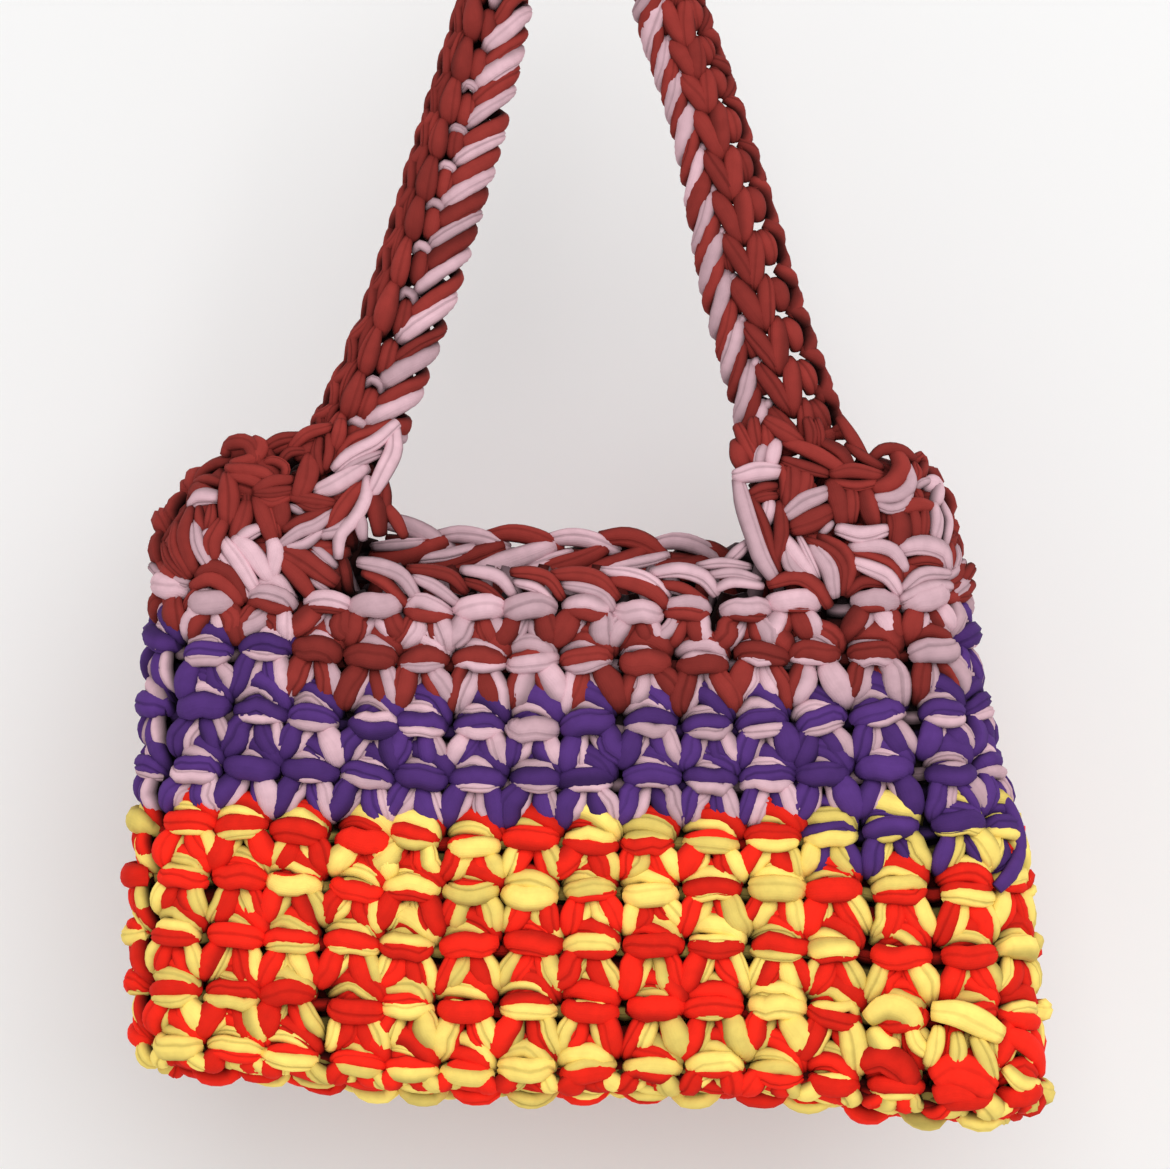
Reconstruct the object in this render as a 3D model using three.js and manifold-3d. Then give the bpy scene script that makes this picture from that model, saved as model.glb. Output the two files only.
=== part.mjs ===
// Crocheted tote bag of doubled jersey yarn, hanging by its strap.
//
// Millimetres. X runs across the bag, Y from its front to its back, and Z up. The origin is
// at the underside of the strap's highest point, where the bag hangs.

import * as THREE from 'three';
import { mergeVertices } from 'three/addons/utils/BufferGeometryUtils.js';
import Module from 'manifold-3d';

// Driving dimensions
const STITCHES_ROUND = 32;      // single crochet stitches in one round of the bag
const FRONT_HALF = 7;           // stitches from the left side of the front to its middle
const SAMPLES = 3;              // points taken across one stitch, and up one stitch
const WALL = 13;                // thickness of the crocheted cloth
const BAG_TOP_ROW = 12.4;       // the shoulders' last row
const FRONT_SWELL = 3.5;        // how far the middle of the front stands out
const BACK_SWELL = 1.0;         // and of the back, which hangs flatter
const SWELL_RING = 10;          // rings narrower than this swell less
const BACK_BLEND = 40;          // depth over which the back's extra height comes in
const STRAP_THICKNESS = 17;
const STRAP_LINK = 13.6;        // length of one chain link of the strap
const APEX_RADIUS = 29.2;       // of the strap's middle line, where it turns over
const APEX_WIDTH = 23;
const STRAP_LEAN = Math.PI / 12;  // of the strap's two sides, from upright
const ROLL_START_Z = -26;       // height where the strap starts to roll onto its back face
const LEAN_IN = 26;             // height over which the strap's section tips over to its lean
const SEAT_HALF_LENGTH = 6;     // of the flat under the strap's highest point

// The bag's outline, one line for each row of stitches: the height of the row's ridge, the
// left and right edges, the depth from front to back, how far the ring is drawn in under
// the bag, the middle of the front stitches, how much higher the back hangs, and how much
// higher than its middle the row hangs at the left side and at the right one.
const BAG_ROWS = [
  { row: 0, z: -382.5, left: -148, right: 153, depth: 46, inset: 21.4, mid: -6, lift: 0, riseL: 7, riseR: -9 },
  { row: 0.4, z: -383.5, left: -148, right: 153, depth: 46, inset: 14, mid: -6, lift: 0, riseL: 7, riseR: -9 },
  { row: 0.8, z: -382.5, left: -148.5, right: 154, depth: 46, inset: 6.5, mid: -6, lift: 0, riseL: 7, riseR: -9 },
  { row: 1.2, z: -380.5, left: -148.5, right: 155, depth: 47, inset: 1.8, mid: -6, lift: 0, riseL: 7, riseR: -9 },
  { row: 1.66, z: -376, left: -148.5, right: 155.5, depth: 47, inset: 0, mid: -6, lift: 0, riseL: 7, riseR: -8.5 },
  { row: 2.66, z: -355, left: -150.5, right: 154.8, depth: 48, inset: 0, mid: -6, lift: 0, riseL: 4.5, riseR: -3 },
  { row: 3.66, z: -334.7, left: -150.8, right: 153, depth: 48.5, inset: 0, mid: -5.5, lift: 0, riseL: 4, riseR: -2.5 },
  { row: 4.66, z: -315.6, left: -150.3, right: 150.8, depth: 48.5, inset: 0, mid: -5.3, lift: 0, riseL: 4.5, riseR: 0 },
  { row: 5.66, z: -299, left: -149, right: 147, depth: 48, inset: 0, mid: -5.5, lift: 0, riseL: 5, riseR: 4 },
  { row: 6.66, z: -279.5, left: -148, right: 140.5, depth: 47.5, inset: 0, mid: -5.2, lift: 1, riseL: 4.5, riseR: 4.5 },
  { row: 7.66, z: -261, left: -146.5, right: 136.5, depth: 47, inset: 0, mid: -5, lift: 3, riseL: 5, riseR: 4.7 },
  { row: 8.66, z: -239, left: -145.5, right: 131.5, depth: 46, inset: 0, mid: -5.5, lift: 6, riseL: 4, riseR: 4 },
  { row: 9.66, z: -222.4, left: -142.5, right: 129, depth: 44, inset: 0, mid: -3.7, lift: 9, riseL: 4.5, riseR: 4.3 },
  { row: 10.66, z: -201, left: -142, right: 127.5, depth: 40, inset: 0, mid: -3.7, lift: 10, riseL: 1, riseR: 1 },
  { row: 11.66, z: -183, left: -133, right: 122, depth: 30, inset: 0, mid: -3.7, lift: 6, riseL: 0, riseR: 0 },
  { row: 12.4, z: -166.3, left: -120, right: 112, depth: 18, inset: 0, mid: -3.7, lift: 0, riseL: 0, riseR: 0 },
];
const RISE_START = 45;          // distance from X = 0 where a row starts to rise to a side
const RISE_FULL = 130;          // and where it has risen fully

// How far one stitch stands out of the cloth, at thirds of its height: beside it, in the
// furrow between two columns, and on its left and right halves.
const STITCH_RELIEF = [
  { third: 0, furrow: -5.5, left: 0.2, right: 0.6 },
  { third: 1, furrow: -2.6, left: 1.4, right: 1.9 },
  { third: 2, furrow: -1.8, left: 3.0, right: 2.8 },
];

// The mouth between the two shoulders. The front edge hangs lower than the back one.
const MOUTH = {
  leftLow: -66.6, leftHigh: -61.5,
  rightLow: 54.5, rightHigh: 57.5,
  frontZ: -210.5, backZ: -198, topZ: -150,
  loopPitch: 18.5, loopRise: 2.2,
};

// Rings of the hollow inside the bag: the row each is at, and how much further it is drawn
// in than the cloth's thickness.
const HOLLOW_RINGS = [
  { row: 1.75, extra: 5 },
  { row: 2.1, extra: 1 },
  { row: 2.66, extra: 0 },
  { row: 4.66, extra: 0 },
  { row: 6.66, extra: 0 },
  { row: 8.66, extra: 0 },
  { row: 9.66, extra: 0 },
  { row: 10.3, extra: 0.5 },
  { row: 10.9, extra: 2 },
];
const HOLLOW_POINTS = 40;

// The strap's two sides: the middle line's distance from the bag's centre plane on the left
// and on the right, and the strap's width there.
const STRAP_SIDES = [
  { z: -166, left: 77.5, right: 73, width: 33 },
  { z: -152, left: 71, right: 70, width: 30 },
  { z: -140, left: 65.8, right: 66.5, width: 28 },
  { z: -116, left: 57.6, right: 60, width: 27 },
  { z: -85, left: 48.5, right: 49.8, width: 26.5 },
  { z: -55, left: 40.2, right: 41, width: 26 },
  { z: -14.6, left: 28.6, right: 28.6, width: 24.5 },
];
const BASE_Z = STRAP_SIDES[0].z;

// The strap's section, from its outer edge across the front to its inner edge: where each
// point is across the half width, how high it is in the half thickness, and how far the
// chain links raise it. The back is the same.
const STRAP_SECTION = [
  { across: -1.0, high: 0.0, link: 0 },
  { across: -0.86, high: 0.62, link: 0.7 },
  { across: -0.62, high: 0.9, link: 1.3 },
  { across: -0.34, high: 0.62, link: 0 },
  { across: -0.04, high: 0.92, link: 1.4 },
  { across: 0.26, high: 0.66, link: 0 },
  { across: 0.6, high: 0.94, link: 1.5 },
  { across: 0.88, high: 0.62, link: 0.9 },
  { across: 1.0, high: 0.0, link: 0 },
];

// How much of that a link has at each third of its length.
const LINK_SWELL = [-0.5, 0.8, 0.45];

// A smooth curve through one column of a table whose rows are sorted by another column.
function along(table, key, place, column) {
  const last = table.length - 1;
  let i = 0;
  while (i < last - 1 && table[i + 1][key] < place) i += 1;
  const slope = (k) => {
    const before = table[Math.max(k - 1, 0)];
    const after = table[Math.min(k + 1, last)];
    return (after[column] - before[column]) / (after[key] - before[key]);
  };
  const step = table[i + 1][key] - table[i][key];
  const t = THREE.MathUtils.clamp((place - table[i][key]) / step, 0, 1);
  const rise = table[i + 1][column] - table[i][column];
  const startSlope = slope(i) * step;
  const endSlope = slope(i + 1) * step;
  const cubic = startSlope + endSlope - 2 * rise;
  const square = 3 * rise - 2 * startSlope - endSlope;
  return table[i][column] + startSlope * t + square * t * t + cubic * t * t * t;
}

// The cloth's face at a column and row of stitches, drawn in by inset. A ring is two long
// straight sides joined by half circles, and its stitches are evenly spaced along it.
function clothPoint(column, row, inset) {
  const level = (name) => along(BAG_ROWS, 'row', row, name);
  const drawnIn = level('inset');
  const left = level('left') + drawnIn;
  const right = level('right') - drawnIn;
  const endRadius = level('depth') / 2 - drawnIn;
  const straight = right - left - 2 * endRadius;
  const centre = (left + right) / 2;
  const half = Math.PI * endRadius;
  const round = 2 * straight + 2 * half;
  const start = straight / 2 + level('mid') - centre;
  const from = ((column - FRONT_HALF) / STITCHES_ROUND) * round + start;
  const run = THREE.MathUtils.euclideanModulo(from, round);
  const ring = Math.max(endRadius - inset, 0.4);
  let x = 0;
  let y = 0;
  if (run < straight) {
    x = left + endRadius + run;
    y = -ring;
  } else if (run < straight + half) {
    const turn = (run - straight) / endRadius;
    x = right - endRadius + ring * Math.sin(turn);
    y = -ring * Math.cos(turn);
  } else if (run < 2 * straight + half) {
    x = right - endRadius - (run - straight - half);
    y = ring;
  } else {
    const turn = (run - 2 * straight - half) / endRadius;
    x = left + endRadius - ring * Math.sin(turn);
    y = ring * Math.cos(turn);
  }
  const across = THREE.MathUtils.clamp((x - centre) / (straight / 2), -1, 1);
  const swell = (1 - across * across) * Math.min(1, ring / SWELL_RING);
  y += y < 0 ? -FRONT_SWELL * swell : BACK_SWELL * swell;
  const back = THREE.MathUtils.clamp(0.5 + y / BACK_BLEND, 0, 1);
  const onLeft = THREE.MathUtils.smoothstep(-x, RISE_START, RISE_FULL);
  const onRight = THREE.MathUtils.smoothstep(x, RISE_START, RISE_FULL);
  const rise = onLeft * level('riseL') + onRight * level('riseR');
  const z = level('z') + back * level('lift') + rise;
  return new THREE.Vector3(x, y, z);
}

// The outward direction of the cloth at a column and row.
function clothNormal(column, row) {
  const step = 0.02;
  const low = Math.max(row - step, 0.01);
  const high = Math.min(row + step, BAG_TOP_ROW - 0.01);
  const acrossCloth = clothPoint(column + step, row, 0).sub(clothPoint(column - step, row, 0));
  const upCloth = clothPoint(column, high, 0).sub(clothPoint(column, low, 0));
  return acrossCloth.cross(upCloth).normalize();
}

// Rings of points joined into one closed mesh, with a flat strip across each end ring.
function closedRings(rings) {
  const count = rings[0].length;
  const positions = rings.flat().flatMap((point) => point.toArray());
  const faces = [];
  for (let ring = 0; ring < rings.length - 1; ring += 1) {
    for (let i = 0; i < count; i += 1) {
      const next = (i + 1) % count;
      const low = ring * count;
      const high = low + count;
      faces.push(low + i, low + next, high + next);
      faces.push(low + i, high + next, high + i);
    }
  }
  const capRing = (base, lowest, up) => {
    for (let k = 0; k < count / 2 - 1; k += 1) {
      const a = base + (lowest + k) % count;
      const b = base + (lowest + k + 1) % count;
      const c = base + (lowest - k - 2 + 2 * count) % count;
      const d = base + (lowest - k - 1 + 2 * count) % count;
      if (k > 0 || a !== d) faces.push(...(up ? [a, b, d] : [a, d, b]));
      if (b !== c) faces.push(...(up ? [d, b, c] : [d, c, b]));
    }
  };
  const farLeft = (ring) => {
    let found = 0;
    ring.forEach((point, i) => {
      if (point.x < ring[found].x) found = i;
    });
    return found;
  };
  capRing(0, farLeft(rings[0]), false);
  capRing((rings.length - 1) * count, farLeft(rings[rings.length - 1]), true);
  const geometry = new THREE.BufferGeometry();
  geometry.setAttribute('position', new THREE.Float32BufferAttribute(positions, 3));
  geometry.setIndex(faces);
  return geometry;
}

// The bag's outside with each stitch raised on it.
function bagOutside() {
  const around = STITCHES_ROUND * SAMPLES;
  const steps = Math.round(BAG_TOP_ROW * SAMPLES);
  const rings = [];
  for (let k = 0; k <= steps; k += 1) {
    const row = (k / steps) * BAG_TOP_ROW;
    const relief = STITCH_RELIEF[k % SAMPLES];
    const fade = THREE.MathUtils.clamp(Math.min(row / 0.7, (BAG_TOP_ROW - row) / 0.4), 0, 1);
    const ring = [];
    for (let i = 0; i < around; i += 1) {
      const column = i / SAMPLES;
      const raise = [relief.furrow, relief.left, relief.right][i % SAMPLES] * fade;
      ring.push(clothPoint(column, row, 0).addScaledVector(clothNormal(column, row), raise));
    }
    rings.push(ring);
  }
  return closedRings(rings);
}

// The hollow inside the bag.
function bagHollow() {
  const rings = HOLLOW_RINGS.map(({ row, extra }) => {
    const ring = [];
    for (let i = 0; i < HOLLOW_POINTS; i += 1) {
      const column = (i / HOLLOW_POINTS) * STITCHES_ROUND;
      ring.push(clothPoint(column, row, WALL + extra));
    }
    return ring;
  });
  return closedRings(rings);
}

// What is left open between the shoulders, over the front edge or over the back one. The
// edge is a chain of low loops.
function mouthCutter(edgeZ, nearY, farY) {
  const shape = new THREE.Shape();
  const span = MOUTH.rightLow - MOUTH.leftLow;
  const loops = Math.round(span / MOUTH.loopPitch);
  shape.moveTo(MOUTH.leftLow, edgeZ);
  for (let i = 1; i <= loops * 2; i += 1) {
    const rise = i % 2 ? MOUTH.loopRise : 0;
    shape.lineTo(MOUTH.leftLow + (i / (loops * 2)) * span, edgeZ + rise);
  }
  shape.lineTo(MOUTH.rightHigh, BAG_ROWS[BAG_ROWS.length - 1].z);
  shape.lineTo(MOUTH.rightHigh, MOUTH.topZ);
  shape.lineTo(MOUTH.leftHigh, MOUTH.topZ);
  shape.lineTo(MOUTH.leftHigh, BAG_ROWS[BAG_ROWS.length - 1].z);
  const geometry = new THREE.ExtrudeGeometry(shape, { depth: farY - nearY, bevelEnabled: false });
  geometry.rotateX(Math.PI / 2);
  geometry.translate(0, farY, 0);
  return geometry;
}

// Points of the strap's middle line, from the left shoulder up, over and down to the right.
function strapLine() {
  const side = (name, sign) => STRAP_SIDES.map(
    (level) => new THREE.Vector3(sign * level[name], 0, level.z),
  );
  const leftSide = side('left', -1);
  const rightSide = side('right', 1).reverse();
  const low = leftSide[leftSide.length - 1];
  const touchX = APEX_RADIUS * Math.cos(STRAP_LEAN);
  const touchZ = low.z + (-low.x - touchX) / Math.tan(STRAP_LEAN);
  const centreZ = touchZ - APEX_RADIUS * Math.sin(STRAP_LEAN);
  const turn = [];
  const turnSteps = 8;
  for (let i = 0; i <= turnSteps; i += 1) {
    const angle = Math.PI - STRAP_LEAN - (i / turnSteps) * (Math.PI - 2 * STRAP_LEAN);
    const x = APEX_RADIUS * Math.cos(angle);
    turn.push(new THREE.Vector3(x, 0, centreZ + APEX_RADIUS * Math.sin(angle)));
  }
  return new THREE.CatmullRomCurve3([...leftSide, ...turn, ...rightSide], false, 'centripetal');
}

// The strap's width at a height.
function strapWidth(z) {
  const top = STRAP_SIDES[STRAP_SIDES.length - 1];
  if (z < top.z) return along(STRAP_SIDES, 'z', z, 'width');
  return THREE.MathUtils.lerp(top.width, APEX_WIDTH, THREE.MathUtils.smoothstep(z, top.z, 0));
}

// The strap: three chains of links side by side, front and back. Its two sides face forward,
// and it rolls back over the hanging point so that it lies there on its back face.
function strapGeometry() {
  const line = strapLine();
  const steps = Math.round(line.getLength() / STRAP_LINK) * SAMPLES;
  const sectionBack = STRAP_SECTION.slice(1, -1).reverse();
  const flatFront = new THREE.Vector3(0, -1, 0);
  const rings = [];
  for (let k = 0; k <= steps; k += 1) {
    const middle = line.getPointAt(k / steps);
    const tangent = line.getTangentAt(k / steps);
    const upright = new THREE.Vector3(0, 0, Math.sign(tangent.z) || 1);
    const lean = THREE.MathUtils.smoothstep(middle.z, BASE_Z, BASE_Z + LEAN_IN);
    if (lean < 1) tangent.lerpVectors(upright, tangent, lean).normalize();
    const rollEnd = APEX_RADIUS / 4;
    const roll = (Math.PI / 2) * THREE.MathUtils.smoothstep(middle.z, ROLL_START_Z, rollEnd);
    const outward = new THREE.Vector3().crossVectors(tangent, flatFront).multiplyScalar(-1);
    const front = flatFront.clone().multiplyScalar(Math.cos(roll));
    front.addScaledVector(outward, Math.sin(roll));
    const inner = new THREE.Vector3().crossVectors(tangent, front);
    const halfWidth = strapWidth(middle.z) / 2;
    const atEnd = k === 0 || k === steps;
    const swell = atEnd ? 0 : LINK_SWELL[k % SAMPLES];
    const edge = (rib, face) => {
      const high = face * (rib.high * (STRAP_THICKNESS / 2 - 1) + rib.link * swell);
      const point = middle.clone().addScaledVector(inner, rib.across * halfWidth);
      return point.addScaledVector(front, high);
    };
    rings.push([
      ...STRAP_SECTION.map((rib) => edge(rib, 1)),
      ...sectionBack.map((rib) => edge(rib, -1)),
    ]);
  }
  rings[0].forEach((point) => point.setZ(BASE_Z));
  rings[steps].forEach((point) => point.setZ(BASE_Z));
  rings.flat().forEach((point) => {
    const underApex = Math.abs(point.x) <= SEAT_HALF_LENGTH && point.z < STRAP_THICKNESS / 4;
    if (underApex) point.setZ(0);
  });
  return closedRings(rings);
}

const wasm = await Module();
wasm.setup();

// A closed geometry as a solid that can be joined and cut.
function solidOf(geometry) {
  geometry.deleteAttribute('normal');
  geometry.deleteAttribute('uv');
  const merged = mergeVertices(geometry, 1e-4);
  return new wasm.Manifold(new wasm.Mesh({
    numProp: 3,
    vertProperties: new Float32Array(merged.attributes.position.array),
    triVerts: new Uint32Array(merged.index.array),
  }));
}

// A solid as a geometry again.
function geometryOf(solid) {
  const mesh = solid.getMesh();
  const geometry = new THREE.BufferGeometry();
  geometry.setAttribute('position', new THREE.BufferAttribute(mesh.vertProperties, 3));
  geometry.setIndex(new THREE.BufferAttribute(mesh.triVerts, 1));
  geometry.computeVertexNormals();
  return geometry;
}

const crochetYarn = new THREE.MeshStandardMaterial({ color: 0xc8442f, roughness: 0.9, metalness: 0 });
const strapYarn = new THREE.MeshStandardMaterial({ color: 0x8c3a30, roughness: 0.9, metalness: 0 });

const bag = solidOf(bagOutside())
  .subtract(solidOf(bagHollow()))
  .subtract(solidOf(mouthCutter(MOUTH.frontZ, -60, 0.5)))
  .subtract(solidOf(mouthCutter(MOUTH.backZ, 0, 60)));
const bagBody = new THREE.Mesh(geometryOf(bag), crochetYarn);
bagBody.name = 'bag_body';

const strap = new THREE.Mesh(strapGeometry(), strapYarn);
strap.name = 'strap';

const toteBag = new THREE.Group();
toteBag.add(bagBody, strap);

export default toteBag;
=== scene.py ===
# %% [markdown]
# # A crocheted tote bag, strand by strand
#
# The bag is worked in single crochet, wrong side out, with two strands of jersey yarn held
# together. This lesson lays every strand of every stitch as a small soft tube on the shape
# in which the bag hangs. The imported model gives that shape's frame, so it is loaded first.

# %% Load the frame
import math

import bmesh
import bpy
import numpy as np
from mathutils import Matrix, Vector


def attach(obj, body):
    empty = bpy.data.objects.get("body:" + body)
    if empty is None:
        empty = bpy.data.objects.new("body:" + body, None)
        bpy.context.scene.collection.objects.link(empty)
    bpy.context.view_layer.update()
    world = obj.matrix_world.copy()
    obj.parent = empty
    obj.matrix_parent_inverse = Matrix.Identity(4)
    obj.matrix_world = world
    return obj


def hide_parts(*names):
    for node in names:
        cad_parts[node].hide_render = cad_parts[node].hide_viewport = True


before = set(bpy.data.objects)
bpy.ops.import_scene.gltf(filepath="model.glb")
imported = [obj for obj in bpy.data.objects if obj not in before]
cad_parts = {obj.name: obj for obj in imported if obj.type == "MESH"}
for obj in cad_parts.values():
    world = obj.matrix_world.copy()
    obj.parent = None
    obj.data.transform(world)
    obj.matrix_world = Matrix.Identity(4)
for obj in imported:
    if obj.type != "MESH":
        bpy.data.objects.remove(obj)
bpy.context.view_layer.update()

# %% [markdown]
# The bag's shape is a table with one line for each row of stitches, in millimetres: the
# height of the row's ridge, the left and right edges, the depth, how far the ring is drawn
# in under the bag, the middle of the front, how much higher the back hangs, and how much
# higher than its middle the row hangs at each side. The strap pulls the upper rows up at
# their ends, and the lower right corner sags. A smooth curve through each column fills in
# what lies between.

# %% The bag's rows
MM = 0.001
BAG_ROWS = {
    "row": (0, 0.4, 0.8, 1.2, 1.66, 2.66, 3.66, 4.66, 5.66, 6.66, 7.66, 8.66, 9.66, 10.66, 11.66, 12.4),
    "z": (-382.5, -383.5, -382.5, -380.5, -376, -355, -334.7, -315.6, -299, -279.5, -261, -239, -222.4,
        -201, -183, -166.3),
    "left": (-148, -148, -148.5, -148.5, -148.5, -150.5, -150.8, -150.3, -149, -148, -146.5, -145.5,
        -142.5, -142, -133, -120),
    "right": (153, 153, 154, 155, 155.5, 154.8, 153, 150.8, 147, 140.5, 136.5, 131.5, 129, 127.5, 122, 112),
    "depth": (46, 46, 46, 47, 47, 48, 48.5, 48.5, 48, 47.5, 47, 46, 44, 40, 30, 18),
    "inset": (21.4, 14, 6.5, 1.8, 0, 0, 0, 0, 0, 0, 0, 0, 0, 0, 0, 0),
    "middle": (-6, -6, -6, -6, -6, -6, -5.5, -5.3, -5.5, -5.2, -5, -5.5, -3.7, -3.7, -3.7, -3.7),
    "lift": (0, 0, 0, 0, 0, 0, 0, 0, 0, 1, 3, 6, 9, 10, 6, 0),
    "left_rise": (7, 7, 7, 7, 7, 4.5, 4, 4.5, 5, 4.5, 5, 4, 4.5, 1, 0, 0),
    "right_rise": (-9, -9, -9, -9, -8.5, -3, -2.5, 0, 4, 4.5, 4.7, 4, 4.3, 1, 0, 0),
}
TOP_ROW, FINE_PER_ROW = BAG_ROWS["row"][-1], 50
STITCHES_ROUND, FRONT_HALF = 32, 7  # once round the bag, and from its left side to the front's middle
FRONT_SWELL, BACK_SWELL, SWELL_RING = 3.5, 1.0, 10  # rings narrower than the last swell less
BACK_BLEND = 40  # depth over which the back's extra height comes in
RISE_START, RISE_FULL = 45, 130  # how far from the middle a row starts to rise, and has risen


def smooth_curve(places, values, at):
    """A smooth curve through the values, read at many places."""
    places, values = np.array(places, float), np.array(values, float)
    slopes = np.gradient(values, places)
    slopes[1:-1] = (values[2:] - values[:-2]) / (places[2:] - places[:-2])
    i = np.clip(np.searchsorted(places, at) - 1, 0, len(places) - 2)
    step = places[i + 1] - places[i]
    t = np.clip((at - places[i]) / step, 0, 1)
    rise = values[i + 1] - values[i]
    start, end = slopes[i] * step, slopes[i + 1] * step
    return values[i] + start * t + (3 * rise - 2 * start - end) * t**2 + (start + end - 2 * rise) * t**3


def smooth_line(run, points, at):
    """A smooth line through points that lie run far along it, read at many places."""
    return np.stack([smooth_curve(run, points[:, k], at) for k in range(points.shape[1])], -1)


def run_along(points):
    """How far along its line each point lies."""
    steps = np.linalg.norm(np.diff(points, axis=-2), axis=-1)
    return np.cumsum(np.insert(steps, 0, 0, axis=-1), axis=-1)


FINE_ROWS = np.linspace(0, TOP_ROW, round(TOP_ROW * FINE_PER_ROW) + 1)
FINE = {name: smooth_curve(BAG_ROWS["row"], values, FINE_ROWS) for name, values in BAG_ROWS.items()}
print("rows of the bag:", len(BAG_ROWS["row"]))

# %% [markdown]
# A place on the cloth is a column and a row of stitches. Each ring of the bag is two long
# straight sides joined by half circles, and its stitches are evenly spaced along it. The
# same function gives the cloth's outward direction, from four near places.

# %% Places on the cloth
def step_between(value, low, high):
    """A soft step from 0 at low to 1 at high."""
    t = np.clip((value - low) / (high - low), 0, 1)
    return t * t * (3 - 2 * t)


def level_at(row):
    """The numbers of the bag's table at any height in rows."""
    return {name: np.interp(row, FINE_ROWS, values) for name, values in FINE.items()}


def cloth_face(column, row):
    """Points of the cloth's face, in millimetres, at arrays of columns and rows."""
    level = level_at(row)
    left, right = level["left"] + level["inset"], level["right"] - level["inset"]
    end = level["depth"] / 2 - level["inset"]
    straight = right - left - 2 * end
    centre, half = (left + right) / 2, math.pi * end
    around = 2 * straight + 2 * half
    start = straight / 2 + level["middle"] - centre
    run = np.mod((column - FRONT_HALF) / STITCHES_ROUND * around + start, around)
    right_turn = np.clip((run - straight) / end, 0, math.pi)
    left_turn = np.clip((run - 2 * straight - half) / end, 0, math.pi)
    front_right_back = [run < straight, run < straight + half, run < 2 * straight + half]
    x = np.select(front_right_back, [left + end + run, right - end + end * np.sin(right_turn),
                                     right - end - (run - straight - half)],
                  left + end - end * np.sin(left_turn))
    y = np.select(front_right_back, [-end, -end * np.cos(right_turn), end], end * np.cos(left_turn))
    across = np.clip((x - centre) / (straight / 2), -1, 1)
    swell = (1 - across**2) * np.minimum(1, end / SWELL_RING)
    y = y + np.where(y < 0, -FRONT_SWELL, BACK_SWELL) * swell
    behind = np.clip(0.5 + y / BACK_BLEND, 0, 1)
    rise = (step_between(-x, RISE_START, RISE_FULL) * level["left_rise"]
            + step_between(x, RISE_START, RISE_FULL) * level["right_rise"])
    return np.stack([x, y, level["z"] + behind * level["lift"] + rise], -1)


def unit(v):
    """Vectors of length one."""
    return v / np.maximum(np.linalg.norm(v, axis=-1, keepdims=True), 1e-9)


def cloth(column, row, out):
    """Points and outward directions, out millimetres off the cloth's face."""
    step, edge = 0.03, 0.02
    column, row = np.asarray(column, float), np.clip(np.asarray(row, float), edge, TOP_ROW - edge)
    across = cloth_face(column + step, row) - cloth_face(column - step, row)
    upward = cloth_face(column, row + step) - cloth_face(column, row - step)
    outward = unit(np.cross(across, upward))
    return cloth_face(column, row) + outward * np.asarray(out, float)[..., None], outward


print("front middle:", cloth([FRONT_HALF], [5], [0])[0].round(1))

# %% [markdown]
# Jersey yarn is a strip that has curled into a soft tube, so one strand is a flattened tube
# with a crease along it. Strands of one kind have the same number of rings and sides, which
# lets one array hold them all. Bmesh has no operator that sweeps thousands of tubes, so the
# rings are worked out as arrays and joined into one mesh.

# %% Strands of yarn
CURVE_STEPS = 60
FINE_STRAND = {"rings": 12, "angles": (0, 10, 36, 70, 106, 143, 180, 217, 254, 290, 324, 350)}
SIDE_STRAND = {"rings": 8, "angles": (0, 14, 62, 110, 158, 202, 250, 298, 346)}
PLAIN_STRAND = {"rings": 7, "angles": (0, 60, 120, 180, 240, 300)}
CREASE_UP, CREASE_WANDER = 90, 28  # degrees: a crease lies on the strand's top, give or take
CREASE_DEPTHS = (0.03, 0.14, 0.22)  # as shares of the strand's half width
# painted shade: strands are painted darker the nearer they lie to the cloth's middle, deep between the
# stitches, and each strand's side towards that middle is painted darker still
CLOTH_MIDDLE = -7.2  # millimetres; the nearer a strand is to it, the darker
PAINTED_SIDE_SHADE = 1.8
rng = np.random.default_rng(11)
strands = {}


def curve_through(points, count):
    """Evenly spaced points on a smooth curve through a few."""
    points = np.asarray(points, float)
    run = run_along(points[:, :3])
    line = smooth_line(run, points, np.linspace(0, run[-1], CURVE_STEPS))
    steps = run_along(line[:, :3])
    return np.stack([np.interp(np.linspace(0, steps[-1], count), steps, line[:, k])
                     for k in range(points.shape[1])], -1)


def lay(yarn, points, outward, width, thick, level, twist, kind=FINE_STRAND):
    """Puts one strand in its yarn's list: its line, which way is out, its half width and half
    thickness, and how far out of the cloth it lies."""
    tangent = unit(np.gradient(points, axis=0))
    side = unit(np.cross(outward, tangent))
    along = np.linspace(-1, 1, len(points))
    turn = rng.normal(CREASE_UP, CREASE_WANDER)
    strands.setdefault((yarn, kind["rings"]), []).append({
        "points": points, "side": side, "out": np.cross(tangent, side),
        "width": np.broadcast_to(width, len(points)), "thick": np.broadcast_to(thick, len(points)),
        # the level also sets the painted shade: the nearer the cloth's middle, the darker
        "level": np.broadcast_to(level, len(points)),
        "angle": np.radians(turn) + twist * along,
        "depth": rng.choice(CREASE_DEPTHS),
        "tint": rng.uniform(0, 1),
    })


def fours(here, beside):
    """The corners of the faces between each ring and the next."""
    return np.stack([here[:, :-1], beside[:, :-1], beside[:, 1:], here[:, 1:]], -1)


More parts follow.
